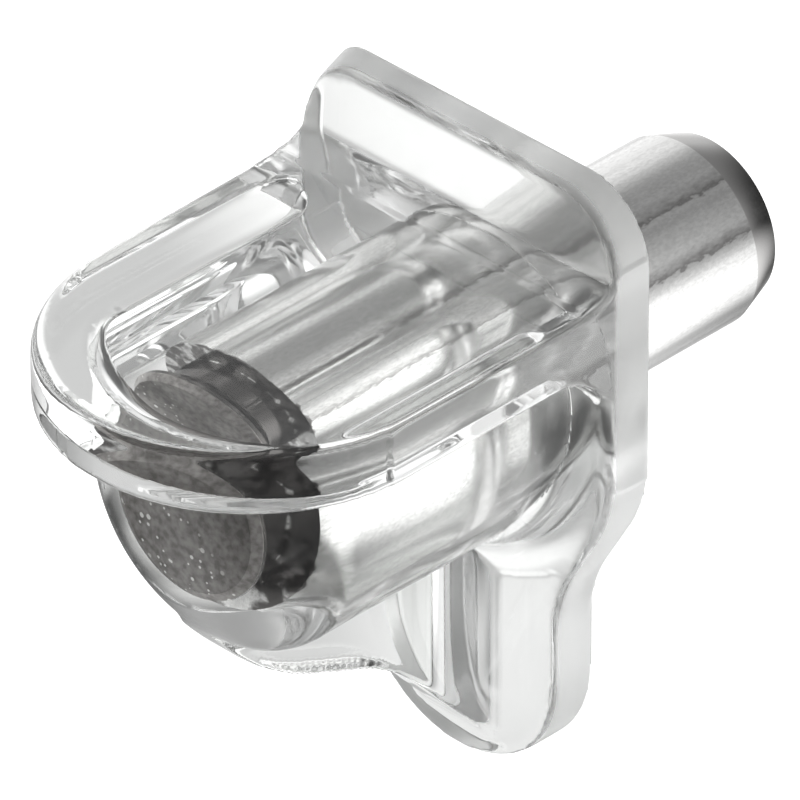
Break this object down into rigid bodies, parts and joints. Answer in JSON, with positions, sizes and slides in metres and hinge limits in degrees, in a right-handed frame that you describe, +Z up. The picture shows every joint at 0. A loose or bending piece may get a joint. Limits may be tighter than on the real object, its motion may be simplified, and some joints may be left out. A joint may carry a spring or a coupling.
{
  "type": "shelf support pin",
  "caption": "Clear moulded shelf support with a flat plate, an upstand and a leg on a wall flange, held by a plain steel pin.",
  "frame": {"origin": "on the pin's axis, at the wall face of the flange, which is where the support meets the cabinet side", "axes": "+Y along the pin into the cabinet side, -Y under the shelf, +X across, +Z up"},
  "size_m": [0.0104, 0.0205, 0.0174],
  "materials": {
    "clear_plastic": "clear polycarbonate, moulded gloss with a slightly hazy flange",
    "plated_steel": "drawn bright, plated, with fine lengthwise and turned marks"
  },
  "bodies": {
    "root": {"support_body": "clear_plastic", "steel_pin": "plated_steel"}
  },
  "joints": []
}
